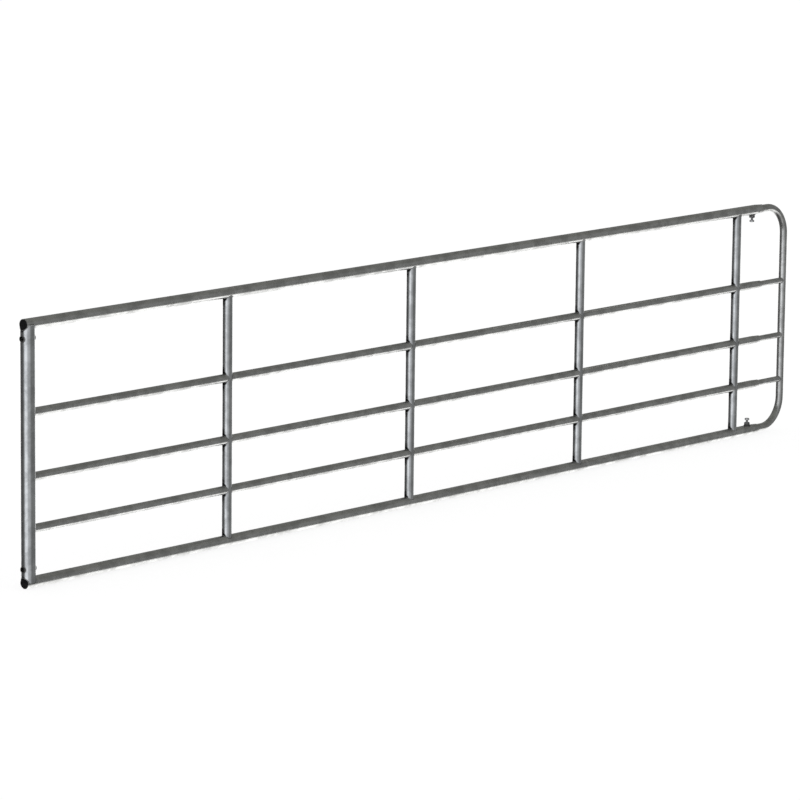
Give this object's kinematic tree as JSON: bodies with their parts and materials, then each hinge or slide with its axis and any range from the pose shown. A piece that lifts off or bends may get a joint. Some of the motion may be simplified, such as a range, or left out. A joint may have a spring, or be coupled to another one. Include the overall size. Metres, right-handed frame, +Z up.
{
  "type": "field gate",
  "caption": "Extending galvanised tubular field gate: railed frame with hinge sleeves in its stile and a bent end frame that slides out of the rails and is locked by hexagon screws.",
  "frame": {"origin": "middle of the lower hinge sleeve's bore, on the hinge stile's axis", "axes": "+X along the gate from the hinge stile to the closing end, +Y through its thickness, +Z up"},
  "size_m": [4.0714, 0.0482, 0.904],
  "materials": {
    "galvanised_tube": "hot-dip galvanised steel, dull grey zinc with a soft mottled spangle",
    "weld_nut": "welded-on steel nut under a rough zinc skin",
    "zinc_screw": "bright zinc-plated hexagon screw",
    "black_plastic": "black moulded polyethylene plug, satin"
  },
  "bodies": {
    "gate_frame": {"hinge_stile": "galvanised_tube", "top_rail": "galvanised_tube", "upper_rail": "galvanised_tube", "middle_rail": "galvanised_tube", "lower_rail": "galvanised_tube", "bottom_rail": "galvanised_tube", "upright_1": "galvanised_tube", "upright_2": "galvanised_tube", "upright_3": "galvanised_tube", "end_upright": "galvanised_tube", "top_rail_cap": "black_plastic", "bottom_rail_cap": "black_plastic", "upper_hinge_sleeve": "galvanised_tube", "lower_hinge_sleeve": "galvanised_tube", "top_lock_nut": "weld_nut", "bottom_lock_nut": "weld_nut"},
    "extension": {"extension_frame": "galvanised_tube", "extension_upper_bar": "galvanised_tube", "extension_middle_bar": "galvanised_tube", "extension_lower_bar": "galvanised_tube"},
    "top_screw": {"top_lock_screw": "zinc_screw"},
    "bottom_screw": {"bottom_lock_screw": "zinc_screw"}
  },
  "joints": [
    {"name": "extension_slide", "type": "slide", "parent": "gate_frame", "child": "extension", "axis": [1, 0, 0], "range_m": [-0.03, 0.95]},
    {"name": "top_screw_turn", "type": "hinge", "parent": "gate_frame", "child": "top_screw", "pos_m": [3.8285, 0, 0.819], "axis": [0, 0, -1], "range_deg": [0, 720]},
    {"name": "bottom_screw_turn", "type": "hinge", "parent": "gate_frame", "child": "bottom_screw", "pos_m": [3.8285, 0, -0.047], "axis": [0, 0, 1], "range_deg": [0, 720]}
  ]
}
